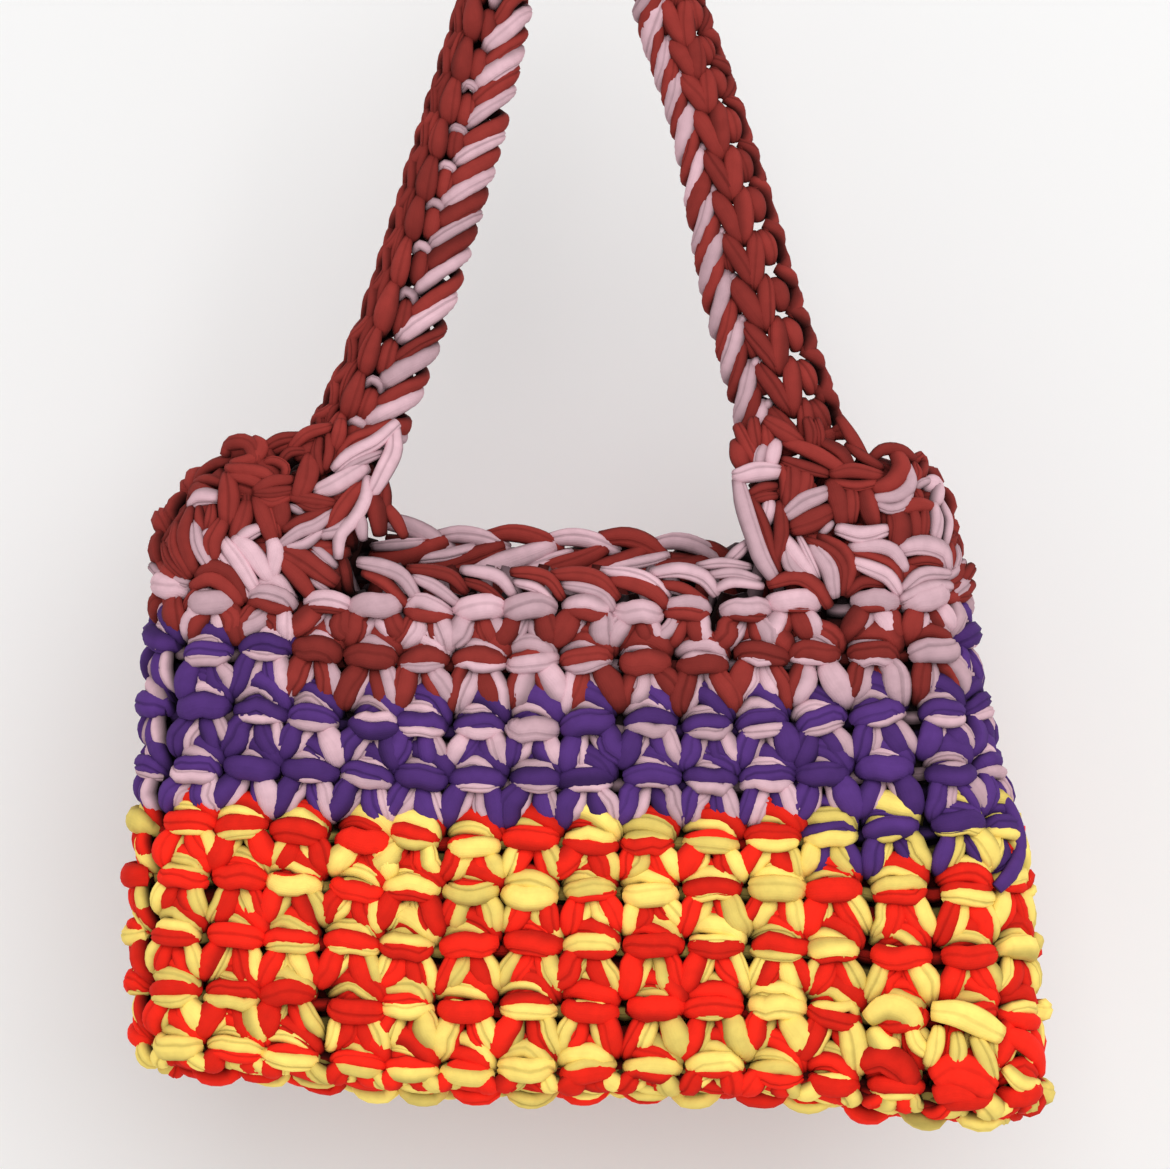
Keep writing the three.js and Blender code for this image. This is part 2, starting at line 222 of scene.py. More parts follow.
def strand_mesh(name, groups):
    """One mesh of all the strands in some lists, with a UV map along and round each strand."""
    verts, corners, sizes, uvs, tints, creases, painted_shade_depths, first = [], [], [], [], [], [], [], 0
    for kind, items in groups:
        stack = {key: np.array([item[key] for item in items]) for key in items[0]}
        angles = np.radians(np.array(kind["angles"]))
        count, rings, sides = len(items), kind["rings"], len(angles)
        ring = {key: values[:, :, None] for key, values in stack.items() if values.ndim > 1}
        angle = angles + ring["angle"]
        notch = np.ones((count, 1, sides))
        notch[:, 0, 0] -= stack["depth"]
        across = np.cos(angle) * ring["width"] * notch
        over = np.sin(angle) * ring["thick"] * notch
        verts.append((ring["points"] + across[..., None] * ring["side"] + over[..., None] * ring["out"])
                     .reshape(-1, 3))
        index = first + np.arange(count * rings * sides).reshape(count, rings, sides)
        quads = fours(index, np.roll(index, -1, axis=2)).reshape(-1, 4)
        caps = np.concatenate([index[:, 0, ::-1].reshape(-1, sides), index[:, -1].reshape(-1, sides)])
        corners += [quads.ravel(), caps.ravel()]
        sizes += [np.full(len(quads), 4), np.full(len(caps), sides)]
        u = np.broadcast_to(run_along(stack["points"])[:, :, None], index.shape)
        v = np.broadcast_to(angles / (2 * math.pi), index.shape)
        v_next = np.broadcast_to(np.append(angles[1:], 2 * math.pi) / (2 * math.pi), index.shape)
        uvs += [np.stack([fours(u, u).ravel(), fours(v, v_next).ravel()], -1), np.full((caps.size, 2), 0.5)]
        tints.append(np.repeat(stack["tint"], rings * sides))
        creases.append(np.repeat(stack["depth"] / max(CREASE_DEPTHS), rings * sides))
        # painted shade: how far each point lies from the cloth's middle, its side towards the middle nearer
        painted_shade_depths.append(np.abs(ring["level"] + PAINTED_SIDE_SHADE * over - CLOTH_MIDDLE).ravel())
        first += count * rings * sides
    corners, sizes = np.concatenate(corners), np.concatenate(sizes)
    mesh = bpy.data.meshes.new(name)
    mesh.vertices.add(first)
    mesh.vertices.foreach_set("co", (np.concatenate(verts) * MM).ravel())
    mesh.loops.add(len(corners))
    mesh.loops.foreach_set("vertex_index", corners)
    mesh.polygons.add(len(sizes))
    mesh.polygons.foreach_set("loop_start", np.concatenate([[0], np.cumsum(sizes)[:-1]]))
    mesh.polygons.foreach_set("use_smooth", np.ones(len(sizes), bool))
    mesh.uv_layers.new(name="strand").data.foreach_set("uv", np.concatenate(uvs).ravel())
    mesh.update(calc_edges=True)
    for label, values in (("tint", tints), ("crease", creases), ("level", painted_shade_depths)):
        mesh.attributes.new(label, "FLOAT", "POINT").data.foreach_set("value", np.concatenate(values))
    return mesh


print("faces in one strand:", (FINE_STRAND["rings"] - 1) * len(FINE_STRAND["angles"]) + 2)

# %% [markdown]
# Seen from its wrong side, a single crochet stitch is a short bar, a loop above it that
# sweeps over to the right, and two legs below that spread like an upside-down V. Each is two
# strands lying together, the first yarn and the second. A place is across the stitch, up the
# stitch, millimetres out of the cloth, and how fat the strand is there. The inside of the
# bag shows each stitch's right side, a plain V.

# %% One stitch
CELL = 20  # millimetres from one stitch to the next


def mirrored(places):
    """The same places on the stitch's other side."""
    return [(1 - across, *rest) for across, *rest in places]


def even(half):
    """The places of a strand that is the same on both sides, from the first half of them."""
    return half + mirrored(half[-2::-1])


STITCH = {
    "loop_dome": (0, 2.8, 2.4, even([(0.22, 0.72, -6, 0.8), (0.32, 0.86, -3.6, 1), (0.5, 0.92, -2.8, 1.1)])),
    "loop_low": (1, 2.7, 2.5, [
        (0.08, 0.84, -5, 0.7), (0.2, 0.96, -2.4, 0.95), (0.42, 1, -0.9, 1.1), (0.64, 0.95, -0.4, 1.1),
        (0.8, 0.83, -1.4, 1), (0.84, 0.68, -5.5, 0.8)]),
    "loop_high": (0, 2.9, 2.6, [
        (0.02, 1.04, -5.6, 0.7), (0.2, 1.17, -3, 0.95), (0.44, 1.2, -1.9, 1.1),
        (0.68, 1.11, -1.2, 1.15), (0.86, 0.94, -1.7, 1.05), (0.92, 0.74, -6, 0.8)]),
    "left_in": (1, 2.8, 2.5, [
        (0.46, 0.56, -3, 0.7), (0.41, 0.42, -1.3, 0.95), (0.34, 0.25, -0.5, 1.1), (0.25, 0.08, -1.6, 1),
        (0.18, -0.08, -5.5, 0.7)]),
    "left_out": (0, 3.1, 2.6, [
        (0.3, 0.58, -2.6, 0.8), (0.21, 0.44, -0.3, 1.05), (0.13, 0.26, 0.4, 1.15),
        (0.06, 0.08, -0.8, 1.05), (0.02, -0.08, -5.5, 0.75)]),
    "right_in": (0, 2.8, 2.5, [
        (0.54, 0.56, -3, 0.7), (0.6, 0.42, -1.1, 0.95), (0.67, 0.25, -0.3, 1.1), (0.76, 0.08, -1.4, 1),
        (0.83, -0.08, -5.5, 0.7)]),
    "right_out": (1, 3.2, 2.6, [
        (0.7, 0.58, -2.2, 0.8), (0.79, 0.45, 0, 1.05), (0.87, 0.27, 0.6, 1.2), (0.94, 0.09, -0.6, 1.05),
        (0.98, -0.08, -5.5, 0.75)]),
    "bar_high": (0, 2.6, 2.6, even([
        (0.18, 0.64, -6.5, 0.85), (0.165, 0.71, -2, 1), (0.31, 0.775, 1, 1.08), (0.5, 0.79, 1.5, 1.1)])),
    "bar_low": (1, 2.5, 2.6, even([
        (0.18, 0.62, -6.5, 0.8), (0.165, 0.6, -1.8, 0.95), (0.31, 0.575, 1.4, 1.05),
        (0.5, 0.565, 2, 1.08)])),
}
INSIDE = [(0.48, 0, -10.5, 0.8), (0.36, 0.28, -11.8, 1), (0.24, 0.6, -11.8, 1.1), (0.12, 0.98, -10.5, 0.8)]
INSIDE_2 = [(0.34, 0, -10.2, 0.8), (0.22, 0.28, -11.2, 1), (0.09, 0.6, -11.2, 1.1), (-0.02, 0.95, -10.2, 0.8)]
STITCH_BEHIND = {
    "link_high": (1, 2.6, 2.4, [(-0.3, 0.62, -6.5, 1), (0, 0.58, -4.8, 1), (0.3, 0.62, -6.5, 1)]),
    "link_low": (0, 3.2, 2.4, [(-0.34, 0.28, -7, 1), (0, 0.24, -6, 1), (0.34, 0.28, -7, 1)]),
    "inner_left": (0, 2.9, 2.3, INSIDE),
    "inner_right": (1, 2.9, 2.3, mirrored(INSIDE)),
    "inner_left_2": (1, 2.7, 2.1, INSIDE_2),
    "inner_right_2": (0, 2.7, 2.1, mirrored(INSIDE_2)),
}
PAIRS = ("bar", "loop", "left", "right", "behind")
BAR_AT = 0.68  # height of the bar in the stitch
EVEN_LEADS = (0.55,) * 5  # how often the first yarn leads in each pair where nothing else is said
LEADS_BY = (0.0, 0.36)  # how much fatter the leading strand of a pair is
HIDING, HIDES_BY = 0.36, (0.5, 0.62)  # how often one strand of a bar all but hides the other
WOBBLE, WOBBLE_BEHIND = 0.024, 0.01
LIFT = 1.4  # millimetres that the leading strand lies further out


def stitch(column, row, yarns, turn=0.0, size=1.0, shift=(0.0, 0.0), parts=STITCH, kind=FINE_STRAND,
           leads=EVEN_LEADS, sink=0.0):
    """One stitch of two yarns, a little turned, sized and moved from its even place. In each
    pair of strands one leads: it is fatter and lies further out, and sometimes hides the other."""
    cos, sin = math.cos(turn) * size, math.sin(turn) * size
    upper, lead, share = {}, {}, {}
    for pair, chance in zip(PAIRS, leads):
        lead[pair] = 0 if rng.random() < chance else 1
        upper[pair] = 0 if rng.random() < chance else 1
        share[pair] = rng.uniform(*LEADS_BY)
        if pair == "bar" and rng.random() < HIDING:
            share[pair] = rng.uniform(*HIDES_BY)
    for name, (which, width, thick, places) in parts.items():
        word = name.split("_")[0]
        pair = word if word in PAIRS else "behind"
        places = np.array(places)
        across, up = places[:, 0] - 0.5, places[:, 1] - 0.5
        if pair == "bar":
            up = (places[:, 1] - BAR_AT) * (1 - share[pair]) + BAR_AT - 0.5
        wobble = rng.normal(0, WOBBLE_BEHIND if pair == "behind" else WOBBLE, (len(places), 2))
        wobble[[0, -1]] *= 0.3
        column_at = column + 0.5 + shift[0] + cos * across - sin * up + wobble[:, 0]
        row_at = row + 0.5 + shift[1] + sin * across + cos * up + wobble[:, 1]
        yarn = (which + upper[pair]) % 2
        more = 1.0 if pair == "behind" else 1 + share[pair] * (1 if yarn == lead[pair] else -1)
        line = curve_through(np.stack([column_at * CELL, row_at * CELL, places[:, 2], places[:, 3]], -1),
                             kind["rings"])
        out = line[:, 2] + rng.normal(0, 0.2) + LIFT * (more - 1) - sink
        points, outward = cloth(line[:, 0] / CELL, line[:, 1] / CELL, out)
        lay(yarns[yarn], points, outward, width * more * line[:, 3], thick * (0.6 + 0.4 * more) * line[:, 3],
            level=out, twist=rng.normal(0, 0.3), kind=kind)


print("strands in one stitch:", len(STITCH), "outside and", len(STITCH_BEHIND), "behind")

# %% [markdown]
# The colours change in bands, and each band says how often its first yarn leads in each pair:
# bars, loops, left legs, right legs and what lies behind. The front's columns don't stand
# evenly: some lean a little to one side. Rows 10 and 11 are the shoulders, where the front's
# strands are laid later, over a plain ground.

# %% The rows of stitches
BANDS = [
    (0, 6, ("red", "yellow"), (0.56, 0.75, 0.72, 0.7, 0.55)),
    (6, 8, ("purple", "mauve"), (0.93, 0.97, 0.94, 0.92, 0.55)),
    (8, 9, ("rust", "mauve"), (0.85, 0.7, 0.6, 0.6, 0.55)),
    (9, 10, ("rust", "mauve"), (0.1, 0.4, 0.5, 0.55, 0.55)),
    (10, 13, ("rust", "mauve"), (0.6, 0.6, 0.6, 0.6, 0.55)),
]
JOIN_ROW, JOIN_COLUMNS, JOIN_YARNS = 5, range(11, 15), ("purple", "yellow")
JOIN_LEADS = (0.5, 0.3, 0.7, 0.4, 0.55)
LAST_PURPLE_ROW, RUST_COLUMNS = 8, range(2, 14)
SHOULDER_ROWS, SHOULDER_ENDS = (10, 11), (15, 30)
FINE_COLUMNS = (31, *range(14))
PLAIN_RUST, GROUND_SINK = ("rust", "rust"), 4.2


def yarns_at(column, row):
    """The two yarns of a stitch and how often the first leads. The colours change part way
    round: yellow and purple share four stitches, and the last purple round ends on the front."""
    band = next(band for band in BANDS if band[0] <= row < band[1])
    if row == JOIN_ROW and column in JOIN_COLUMNS:
        return JOIN_YARNS, JOIN_LEADS
    if row == LAST_PURPLE_ROW and column not in RUST_COLUMNS:
        band = next(band for band in BANDS if band[0] <= row - 1 < band[1])
    if row in SHOULDER_ROWS and column in SHOULDER_ENDS:
        return PLAIN_RUST, band[3]
    return band[2], band[3]


def whole_stitch(column, row, parts=STITCH, **placing):
    """A stitch's outside and, behind it, what shows inside the bag."""
    yarns, leads = yarns_at(column, row)
    kind = FINE_STRAND if column in FINE_COLUMNS else SIDE_STRAND
    stitch(column, row, yarns, parts=parts, kind=kind, leads=leads, **placing)
    stitch(column, row, yarns, parts=STITCH_BEHIND, kind=PLAIN_STRAND)


COLUMN_SHIFTS = (0.2, 0.19, 0.13, 0.14, 0, -0.02, -0.05, -0.07, -0.06, -0.06, -0.06, -0.13, -0.08, 0.07, 0.02)
RIM_SHIFTS = (0.05, 0.09, 0.13, 0.04, -0.07, -0.15, -0.24, -0.2, -0.26, -0.33, -0.38, -0.42, 0, 0)
TURNS, SIZES, PLACES = 0.085, 0.035, 0.03  # how much the stitches vary
SHOULDER_TURNS, SHOULDER_SIZES = 0.07, 0.03
BACK_SHOULDERS, FRONT_SHOULDERS = (15, 16, 17, 18, 27, 28, 29, 30), (31, 0, 1, 2, 11, 12, 13, 14)
NO_LOOP = {name: part for name, part in STITCH.items() if not name.startswith("loop")}
RIM_ROW = 9
for row in range(RIM_ROW + 1):
    shifts = RIM_SHIFTS if row == RIM_ROW else COLUMN_SHIFTS
    for column in range(STITCHES_ROUND):
        along = shifts[column] if column < len(shifts) else 0
        rim = row == RIM_ROW and column < len(RIM_SHIFTS)
        whole_stitch(column, row, turn=rng.normal(0, TURNS), size=rng.normal(1, SIZES),
                     shift=rng.normal(0, PLACES, 2) + (along, 0), parts=NO_LOOP if rim else STITCH)
for row in SHOULDER_ROWS:
    for column in BACK_SHOULDERS:
        whole_stitch(column, row, turn=rng.normal(0, SHOULDER_TURNS), size=rng.normal(1, SHOULDER_SIZES))
    for column in FRONT_SHOULDERS:
        stitch(column, row, PLAIN_RUST, kind=SIDE_STRAND, sink=GROUND_SINK)
        stitch(column, row, PLAIN_RUST, parts=STITCH_BEHIND, kind=PLAIN_STRAND)
print({name: len(items) for name, items in strands.items()})

# %% [markdown]
# The shoulders and the rim follow no even pattern, so their strands are laid one by one. A
# strand is written as it looks from the front: yarn, half width, how far out it lies, and the
# places it goes through, in pixels of the finished picture. The camera's distance turns a
# pixel into a place on the cloth.

# %% Strands laid one by one
PIXEL = 0.34  # millimetres to a pixel
CENTRE = (585, 584.5)  # of the picture, in pixels
OVER_X0, TOP_UNDER_Z0 = 581, 43  # the pixels where X is 0, and how far the picture's top is below Z 0
CAMERA_AWAY = 1500.0
EYE = np.array([(CENTRE[0] - OVER_X0) * PIXEL, -CAMERA_AWAY, -(CENTRE[1] + TOP_UNDER_Z0) * PIXEL])
WIDER = 1.17  # strands are laid this much wider, because they overlap
END_WIDTH, TUCK = 0.72, 2.4  # how narrow and how deep a strand's ends are
BACK_RIM_DEPTH, FIRST_DEPTH = 16.0, -20.0


def seen_at(pixels, depth):
    """The places seen at some pixels, depth millimetres behind the origin."""
    near = (depth - EYE[1]) / -EYE[1]
    return np.stack([EYE[0] + (pixels[:, 0] - CENTRE[0]) * PIXEL * near, depth,
                     EYE[2] - (pixels[:, 1] - CENTRE[1]) * PIXEL * near], -1)


def front_depth(x, z):
    """How deep the bag's front face lies, and which way it faces, at some places."""
    upright = FINE_ROWS > 1.7
    level = level_at(np.interp(z, FINE["z"][upright], FINE_ROWS[upright]))
    end = level["depth"] / 2
    centre, half = (level["left"] + level["right"]) / 2, (level["right"] - level["left"]) / 2
    past = np.clip(np.abs(x - centre) - (half - end), 0, end * 0.97)
    across = np.clip((x - centre) / (half - end), -1, 1)
    return -np.sqrt(end**2 - past**2) - FRONT_SWELL * (1 - across**2), past / end * np.sign(x - centre)


def by_hand(yarn, half_width, out, *pixels, depth=None):
    """Lays one strand from pixels; its ends tuck in behind their neighbours."""
    places = np.reshape(pixels, (-1, 2))
    fat = np.ones(len(places))
    fat[[0, -1]] = END_WIDTH
    line = curve_through(np.column_stack([places, np.zeros(len(places)), fat]), FINE_STRAND["rings"])
    along = np.linspace(0, 1, len(line))
    lift = out - TUCK * (np.abs(2 * along - 1) ** 4)
    y = np.full(len(line), FIRST_DEPTH if depth is None else depth)
    turned = np.zeros(len(line))
    for _ in range(3):
        spot = seen_at(line[:, :2], y)
        if depth is None:
            y, turned = front_depth(spot[:, 0], spot[:, 2])
    outward = unit(np.stack([turned, -np.sqrt(1 - np.minimum(turned**2, 0.9)), 0 * turned], -1))
    points = seen_at(line[:, :2], y) - np.array([0, 1, 0]) * lift[:, None]
    points[:, 1] = y - lift
    half = half_width * PIXEL * WIDER
    lay(yarn, points, outward, half * line[:, 3], min(2.5, 0.9 * half) * line[:, 3],
        level=lift, twist=rng.normal(0, 0.2))


RED, YELLOW, PURPLE, MAUVE, RUST = "red", "yellow", "purple", "mauve", "rust"
LEFT_SHOULDER = [
    (RUST, 11, -0.5, 228, 452, 246, 448, 262, 456, 270, 470),
    (RUST, 11, 0, 232, 470, 250, 466, 268, 474, 280, 486),
    (RUST, 9, -1, 262, 452, 284, 444, 306, 444, 330, 440), (RUST, 9, -0.5, 296, 456, 312, 450, 326, 446),
    (RUST, 9, -0.5, 318, 470, 330, 460, 342, 446), (RUST, 5.5, -1, 195, 492, 200, 477, 211, 466, 231, 459),
    (RUST, 5.5, 0, 189, 505, 197, 485, 209, 480, 223, 484), (MAUVE, 8, 0.5, 191, 505, 202, 497, 219, 497),
    (RUST, 5, 0, 199, 506, 200, 520, 203, 534), (RUST, 6, 0, 212, 506, 211, 520, 208, 532),
    (RUST, 10, 1, 228, 474, 229, 500, 227, 525), (RUST, 5, -1.5, 246, 489, 246, 500, 244, 512),
    (RUST, 9, 0, 247, 502, 243, 518, 234, 540), (RUST, 8, 1, 257, 496, 265, 518, 274, 545),
    (RUST, 7, 0, 268, 502, 272, 518, 277, 540),
    (RUST, 7, 2.5, 225, 456, 232, 444, 248, 443, 256, 458, 254, 468),
    (RUST, 7, 2, 233, 464, 252, 460, 262, 447, 254, 440),
    (RUST, 6, 3, 228, 468, 246, 470, 265, 474, 276, 484), (RUST, 6, 2, 231, 476, 250, 479, 268, 488),
    (RUST, 4.5, 3, 264, 464, 274, 461, 286, 468, 283, 480), (RUST, 6, 3.2, 256, 490, 273, 482, 292, 480),
    (RUST, 6, 2.6, 256, 493, 273, 493, 292, 490), (RUST, 5.5, 1.6, 258, 498, 273, 503, 291, 496),
    (RUST, 6, 1, 262, 450, 279, 440, 300, 436), (RUST, 6, 2, 290, 449, 307, 434, 331, 427),
    (RUST, 5, 1, 278, 464, 291, 452, 311, 452), (RUST, 10, 2.6, 312, 456, 308, 476, 298, 499),
    (RUST, 5.5, 2, 320, 438, 317, 455, 320, 474), (RUST, 4.5, 2.4, 329, 434, 330, 452, 325, 470),
    (RUST, 7, 2, 341, 422, 339, 436, 335, 450), (RUST, 6, 1.5, 337, 460, 352, 441, 374, 432, 392, 423),
    (MAUVE, 7, 3, 334, 470, 350, 456, 376, 442, 397, 423), (MAUVE, 5, 2.4, 340, 475, 356, 464, 382, 453),
    (MAUVE, 8, 2.6, 394, 428, 394, 450, 384, 472, 371, 496), (MAUVE, 9, 2.4, 316, 492, 338, 484, 366, 467),
    (RUST, 8, 1.8, 329, 531, 345, 506, 362, 484),
    (MAUVE, 6, 2.5, 367, 478, 366, 498, 354, 520, 341, 534, 338, 558),
    (MAUVE, 6, 2, 322, 536, 340, 530, 352, 518), (MAUVE, 6, 1.6, 358, 512, 361, 524, 363, 538),
    (RUST, 9, 0.5, 370, 492, 377, 510, 380, 534), (RUST, 6, -0.5, 383, 478, 385, 496, 386, 520),
    (RUST, 6, 0.5, 386, 506, 396, 520, 404, 536), (RUST, 6, 1.6, 288, 496, 312, 500, 336, 504),
    (RUST, 5, 1, 296, 502, 316, 509, 334, 506), (RUST, 9, 0.5, 281, 498, 281, 512, 283, 528),
    (MAUVE, 4, 0, 289, 506, 297, 510, 305, 514), (RUST, 6, 1, 283, 530, 303, 521, 330, 511),
    (MAUVE, 6, 2.4, 280, 546, 300, 532, 316, 526, 333, 513), (MAUVE, 5, 2, 283, 549, 304, 545, 324, 530),
    (RUST, 10, 1.5, 279, 550, 303, 560, 336, 582), (MAUVE, 6, 0.5, 313, 548, 323, 556, 334, 566),
    (RUST, 8, 1, 279, 557, 296, 574, 312, 597), (MAUVE, 4, 0, 308, 576, 318, 584, 330, 594),
    (RUST, 5, -1, 190, 505, 176, 526, 157, 553), (RUST, 8, 1.5, 191, 510, 185, 536, 195, 572),
    (RUST, 7, 1, 177, 524, 176, 548, 191, 576), (RUST, 6, 0.5, 164, 542, 170, 561, 189, 580),
    (RUST, 5, 0, 156, 554, 165, 569, 186, 581), (MAUVE, 7, 1.5, 195, 524, 199, 546, 213, 571),
    (MAUVE, 5, 0, 201, 540, 208, 534, 216, 530), (RUST, 9, 1.5, 224, 521, 213, 542, 213, 563),
    (MAUVE, 8, 2, 223, 541, 239, 562, 257, 592), (MAUVE, 5, 1.5, 217, 551, 231, 572, 249, 599),
    (MAUVE, 7, 0.5, 237, 542, 248, 534, 261, 528), (MAUVE, 9, 2, 234, 540, 251, 552, 273, 582),
    (MAUVE, 8, 1.5, 271, 539, 276, 552, 272, 578), (MAUVE, 8, 0, 254, 592, 274, 580, 292, 600),
    (RUST, 7, 1.6, 198, 576, 213, 567, 233, 576, 245, 600),
    (RUST, 7, 2, 193, 586, 212, 579, 232, 592, 240, 604), (MAUVE, 6, 0.5, 151, 566, 166, 577, 190, 584),
    (RUST, 11, 0, 168, 580, 172, 604, 182, 632), (MAUVE, 4, 0, 156, 580, 161, 606, 176, 630),
    (MAUVE, 10, 1, 209, 590, 200, 606, 190, 630), (RUST, 4, 1, 200, 586, 189, 600, 184, 612),
    (RUST, 11, 1, 218, 596, 231, 616, 240, 642),
]
RIGHT_SHOULDER = [
    (RUST, 7, 0.5, 738, 426, 747, 446, 759, 468), (RUST, 9, 0, 737, 442, 740, 456, 745, 470),
    (RUST, 7, 0.5, 754, 420, 754, 436, 755, 452), (RUST, 7, 0, 767, 424, 767, 438, 766, 454),
    (MAUVE, 6, 1.5, 765, 446, 760, 456, 758, 470), (MAUVE, 7, 1.5, 777, 441, 773, 454, 769, 470),
    (MAUVE, 9, 2.5, 735, 477, 757, 472, 779, 472),
    (MAUVE, 8, 2, 738, 480, 743, 504, 753, 536, 762, 560, 775, 580),
    (RUST, 5, 1, 748, 492, 762, 520, 773, 556, 780, 574), (RUST, 7, 1.2, 780, 504, 781, 534, 776, 564),
    (RUST, 5, 1, 748, 495, 762, 488, 777, 486), (RUST, 5, 0.5, 751, 500, 764, 497, 777, 496),
    (MAUVE, 7, -0.5, 769, 500, 769, 511, 767, 523), (RUST, 5.5, 1, 781, 465, 785, 482, 784, 501),
    (RUST, 9, 1.5, 794, 464, 793, 484, 789, 508), (RUST, 8, 1.2, 806, 468, 804, 486, 798, 504),
    (MAUVE, 9, 2.2, 786, 517, 804, 503, 827, 492), (RUST, 10, 1.8, 792, 529, 811, 521, 831, 510),
    (MAUVE, 4, 0, 821, 534, 827, 528, 833, 522), (RUST, 8, 1.6, 767, 420, 784, 432, 803, 446),
    (RUST, 7, 2.8, 785, 442, 815, 454, 846, 472), (RUST, 6, 2, 783, 460, 806, 468, 828, 474),
    (RUST, 6, 2, 807, 420, 811, 434, 810, 450), (RUST, 4.5, 1.6, 817, 420, 820, 434, 819, 450),
    (RUST, 6.5, 2.4, 821, 442, 840, 453, 852, 470), (RUST, 6, 0.5, 840, 418, 852, 438, 866, 460),
    (RUST, 5, 1.5, 847, 445, 863, 457, 882, 468), (RUST, 7, 3, 832, 474, 852, 471, 880, 476),
    (RUST, 5, 2, 832, 482, 856, 486, 880, 482), (RUST, 9, 1.4, 831, 482, 838, 500, 843, 524),
    (RUST, 8, 1, 850, 488, 851, 504, 850, 522), (RUST, 9, 1, 864, 488, 868, 506, 874, 526),
    (MAUVE, 8, 2.2, 838, 529, 862, 535, 887, 530), (RUST, 5.5, 1, 870, 460, 882, 450, 900, 450, 916, 461),
    (RUST, 9, 2, 895, 452, 901, 468, 892, 483, 873, 490),
    (MAUVE, 6, 2.6, 908, 467, 910, 485, 896, 497, 873, 499),
    (MAUVE, 5, 2.2, 911, 488, 904, 504, 890, 509, 875, 504),
    (RUST, 5.5, 0.5, 912, 462, 920, 457, 923, 468, 919, 480), (RUST, 5, 1, 914, 464, 917, 474, 914, 484),
    (MAUVE, 4, 2, 915, 488, 922, 483, 930, 480), (MAUVE, 10, 0.5, 924, 482, 937, 488, 935, 504),
    (RUST, 5, 0, 913, 486, 918, 495, 921, 504), (RUST, 7, 1.2, 897, 512, 915, 505, 932, 507),
    (RUST, 6, 1, 913, 508, 915, 524, 916, 541), (RUST, 5.5, 1, 924, 507, 924, 524, 922, 541),
    (RUST, 11, 1.2, 894, 510, 900, 527, 898, 550), (MAUVE, 7, 1, 933, 504, 936, 522, 934, 544),
    (MAUVE, 5, 0.5, 940, 500, 948, 521, 945, 546), (MAUVE, 6.5, 2.2, 850, 548, 876, 546, 894, 552, 906, 571),
    (RUST, 5, 1.4, 848, 552, 876, 558, 894, 567, 903, 586),
    (MAUVE, 7, 2, 851, 561, 872, 569, 888, 577, 900, 594), (RUST, 6, 0, 846, 594, 862, 582, 886, 584),
    (MAUVE, 9, 2, 898, 551, 920, 545, 941, 551, 948, 568), (RUST, 5, 1, 905, 564, 926, 560, 947, 566),
    (RUST, 6, -0.5, 900, 584, 908, 570, 922, 563), (MAUVE, 7, 2, 903, 590, 921, 575, 949, 574),
    (MAUVE, 7, 2.4, 902, 600, 926, 588, 951, 586), (RUST, 8, 1, 945, 588, 962, 578, 972, 568),
    (RUST, 7, 0.5, 941, 599, 959, 595, 972, 584), (RUST, 6, 0, 950, 544, 950, 556, 947, 572),
    (MAUVE, 4.5, 0.5, 955, 542, 957, 560, 947, 582), (MAUVE, 5, 1, 964, 562, 956, 570, 945, 580),
    (RUST, 4, -1, 950, 530, 955, 540, 960, 552), (MAUVE, 6, -1, 727, 562, 737, 553, 748, 543),
    (MAUVE, 7, 1.4, 785, 538, 797, 556, 815, 579), (MAUVE, 7, 1.2, 784, 546, 792, 567, 816, 583),
    (MAUVE, 4, 1.8, 799, 537, 809, 558, 819, 579), (MAUVE, 8, 2, 811, 546, 828, 568, 834, 596),
    (RUST, 5.5, 1.6, 806, 540, 831, 552, 843, 568, 842, 594),
    (RUST, 6, 1.2, 819, 537, 842, 550, 850, 567, 845, 592),
    (RUST, 7, 1.6, 769, 584, 797, 577, 816, 587, 829, 606),
]
RIM = [
    (MAUVE, 7, 1.6, 359, 562, 380, 566, 402, 576, 418, 600), (RUST, 6, 0.8, 364, 572, 384, 582, 408, 606),
    (RUST, 6, 1, 408, 569, 432, 571, 452, 577, 466, 592), (MAUVE, 6, 1.4, 413, 577, 434, 586, 458, 604),
    (MAUVE, 6, 1.2, 462, 570, 482, 572, 500, 578, 514, 596), (RUST, 5, 1, 464, 581, 484, 588, 504, 604),
    (RUST, 6, 1.4, 512, 572, 532, 573, 550, 580, 562, 598), (MAUVE, 5, 1, 514, 582, 536, 588, 554, 604),
    (RUST, 7, 1.4, 552, 575, 578, 574, 600, 580, 617, 598),
    (MAUVE, 6, 1, 562, 584, 584, 588, 604, 596, 614, 612),
    (MAUVE, 6, 1.2, 602, 571, 630, 574, 652, 582, 668, 597),
    (RUST, 7, 1.6, 610, 580, 634, 584, 656, 594, 666, 606),
    (MAUVE, 7, 1.6, 652, 573, 680, 570, 704, 578, 716, 594), (RUST, 5, 1, 658, 584, 682, 588, 706, 602),
    (MAUVE, 5, 1, 698, 566, 722, 563, 750, 567), (MAUVE, 5, 1.6, 708, 575, 734, 573, 759, 580),
    (MAUVE, 5, 2, 714, 590, 732, 582, 762, 586),
]
